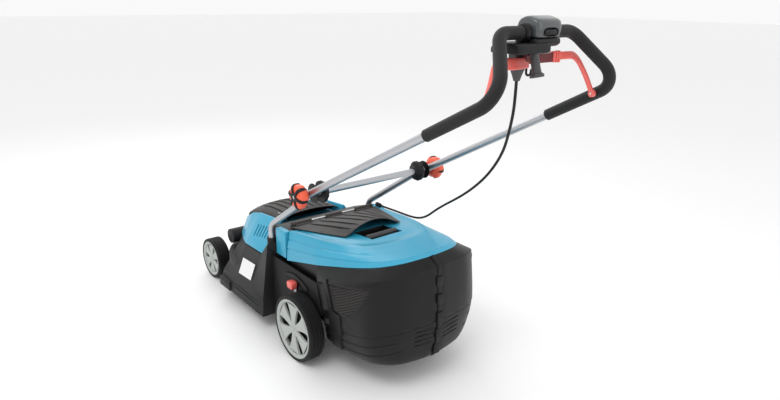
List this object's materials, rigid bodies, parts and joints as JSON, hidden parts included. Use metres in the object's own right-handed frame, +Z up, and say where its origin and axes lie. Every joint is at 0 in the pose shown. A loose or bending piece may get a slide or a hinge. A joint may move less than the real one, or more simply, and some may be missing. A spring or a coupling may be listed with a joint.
{
  "type": "rotary lawn mower",
  "caption": "Corded rotary lawn mower: moulded deck with motor hood, spoked wheels, folding tubular handle with bail switch, hinged rear flap and removable grass box.",
  "frame": {"origin": "on the ground under the middle of the mower, on its mid-plane", "axes": "+X forward, +Y to the mower's left, +Z up"},
  "size_m": [1.4208, 0.5244, 0.99],
  "materials": {
    "deck_plastic": "fine moulded texture",
    "hood_plastic": "satin moulded",
    "box_plastic": "satin moulded",
    "teal_plastic": "satin gloss",
    "wheel_grey": "satin",
    "tyre_rubber": "smooth tread",
    "tube_steel": "galvanised satin",
    "zinc_steel": "zinc plated",
    "bright_steel": "bright",
    "blade_paint": "painted, ground edges",
    "motor_aluminium": "cast",
    "motor_iron": "laminated",
    "grip_foam": "closed cell foam",
    "knob_red": "moulded",
    "bail_red": "moulded",
    "switch_plastic": "moulded",
    "switch_gloss": "polished",
    "grey_plastic": "moulded",
    "pin_brass": "bright",
    "label_film": "film",
    "cord_rubber": "smooth jacket"
  },
  "bodies": {
    "mower_base": {"deck_housing": "deck_plastic", "motor_cover": "teal_plastic", "motor_hood": "hood_plastic", "rear_cowl": "hood_plastic", "rear_trims": "teal_plastic", "label_plate": "label_film", "motor_can": "motor_aluminium", "stator": "motor_iron", "shaft_bearings": "bright_steel", "motor_screws": "bright_steel", "run_capacitor": "grey_plastic", "terminal_board": "grey_plastic", "notch_sector": "deck_plastic", "lower_handle_left": "tube_steel", "lower_handle_right": "tube_steel", "clutch_discs": "box_plastic", "clamp_bolts": "bright_steel", "crossbar": "tube_steel", "flap_rod": "bright_steel", "cord_gland": "box_plastic", "motor_lead": "cord_rubber"},
    "blade_unit": {"rotor": "motor_iron", "motor_shaft": "bright_steel", "cooling_fan": "box_plastic", "blade_adapter": "motor_aluminium", "blade": "blade_paint", "blade_bolt": "bright_steel"},
    "rear_axle": {"rear_crank": "zinc_steel", "height_knob": "bail_red"},
    "front_axle": {"front_crank": "zinc_steel"},
    "handle": {"upper_handle": "tube_steel", "foam_grip": "grip_foam", "switch_case": "switch_plastic", "switch_cover": "switch_gloss", "switch_module": "grey_plastic", "power_inlet": "switch_plastic", "inlet_pins": "pin_brass", "strain_relief": "grey_plastic", "cord_hook": "switch_plastic", "bail_pins": "bright_steel"},
    "bail": {"bail_lever": "bail_red"},
    "lock_button": {"lock_off_button": "switch_plastic"},
    "knob_left": {"clamp_knob_left": "knob_red"},
    "knob_right": {"clamp_knob_right": "knob_red"},
    "flap": {"rear_flap": "hood_plastic"},
    "grass_box": {"box_shell_left": "box_plastic", "box_shell_right": "box_plastic", "seam_clips": "box_plastic", "box_lid": "teal_plastic", "handle_tray": "box_plastic", "carry_handle": "grey_plastic", "box_feet": "box_plastic"},
    "rear_left_wheel": {"wheel_rear_left": "wheel_grey", "tyre_rear_left": "tyre_rubber"},
    "rear_right_wheel": {"wheel_rear_right": "wheel_grey", "tyre_rear_right": "tyre_rubber"},
    "front_left_wheel": {"wheel_front_left": "wheel_grey", "tyre_front_left": "tyre_rubber"},
    "front_right_wheel": {"wheel_front_right": "wheel_grey", "tyre_front_right": "tyre_rubber"}
  },
  "joints": [
    {"name": "blade_spin", "type": "hinge", "parent": "mower_base", "child": "blade_unit", "pos_m": [0.395, 0, 0.1], "axis": [0, 0, 1], "continuous": true},
    {"name": "height_adjust", "type": "hinge", "parent": "mower_base", "child": "rear_axle", "pos_m": [0.03, 0, 0.105], "axis": [0, 1, 0], "range_deg": [-27, 0]},
    {"name": "front_height", "type": "hinge", "parent": "mower_base", "child": "front_axle", "pos_m": [0.584, 0, 0.08], "axis": [0, 1, 0], "range_deg": [0, 27]},
    {"name": "handle_fold", "type": "hinge", "parent": "mower_base", "child": "handle", "pos_m": [-0.084, 0, 0.517], "axis": [0, 1, 0], "range_deg": [0, 145], "deforming": ["motor_lead"]},
    {"name": "left_knob_turn", "type": "hinge", "parent": "mower_base", "child": "knob_left", "pos_m": [-0.084, 0.24, 0.517], "axis": [0, 1, 0], "range_deg": [-720, 0]},
    {"name": "right_knob_turn", "type": "hinge", "parent": "mower_base", "child": "knob_right", "pos_m": [-0.084, -0.24, 0.517], "axis": [0, 1, 0], "range_deg": [0, 720]},
    {"name": "flap_open", "type": "hinge", "parent": "mower_base", "child": "flap", "pos_m": [0.118, 0, 0.356], "axis": [0, 1, 0], "range_deg": [0, 75]},
    {"name": "box_removal", "type": "slide", "parent": "mower_base", "child": "grass_box", "axis": [-1, 0, 0], "range_m": [0, 0.45]},
    {"name": "bail_pull", "type": "hinge", "parent": "handle", "child": "bail", "pos_m": [-0.652, 0, 0.82103], "axis": [0, 1, 0], "range_deg": [-10, 0], "stiffness_Nm_per_rad": 0.6, "springref_deg": 34.38},
    {"name": "lock_off_press", "type": "slide", "parent": "handle", "child": "lock_button", "axis": [1, 0, 0], "range_m": [0, 0.005], "stiffness_N_per_m": 150, "springref_m": -0.01},
    {"name": "rear_left_spin", "type": "hinge", "parent": "rear_axle", "child": "rear_left_wheel", "pos_m": [-0.032, 0.2, 0.1], "axis": [0, 1, 0], "continuous": true},
    {"name": "rear_right_spin", "type": "hinge", "parent": "rear_axle", "child": "rear_right_wheel", "pos_m": [-0.032, -0.2, 0.1], "axis": [0, 1, 0], "continuous": true},
    {"name": "front_left_spin", "type": "hinge", "parent": "front_axle", "child": "front_left_wheel", "pos_m": [0.646, 0.2, 0.075], "axis": [0, 1, 0], "continuous": true},
    {"name": "front_right_spin", "type": "hinge", "parent": "front_axle", "child": "front_right_wheel", "pos_m": [0.646, -0.2, 0.075], "axis": [0, 1, 0], "continuous": true}
  ],
  "couplings": [
    {"joint": "front_height", "follows": "height_adjust", "ratio": -1}
  ]
}
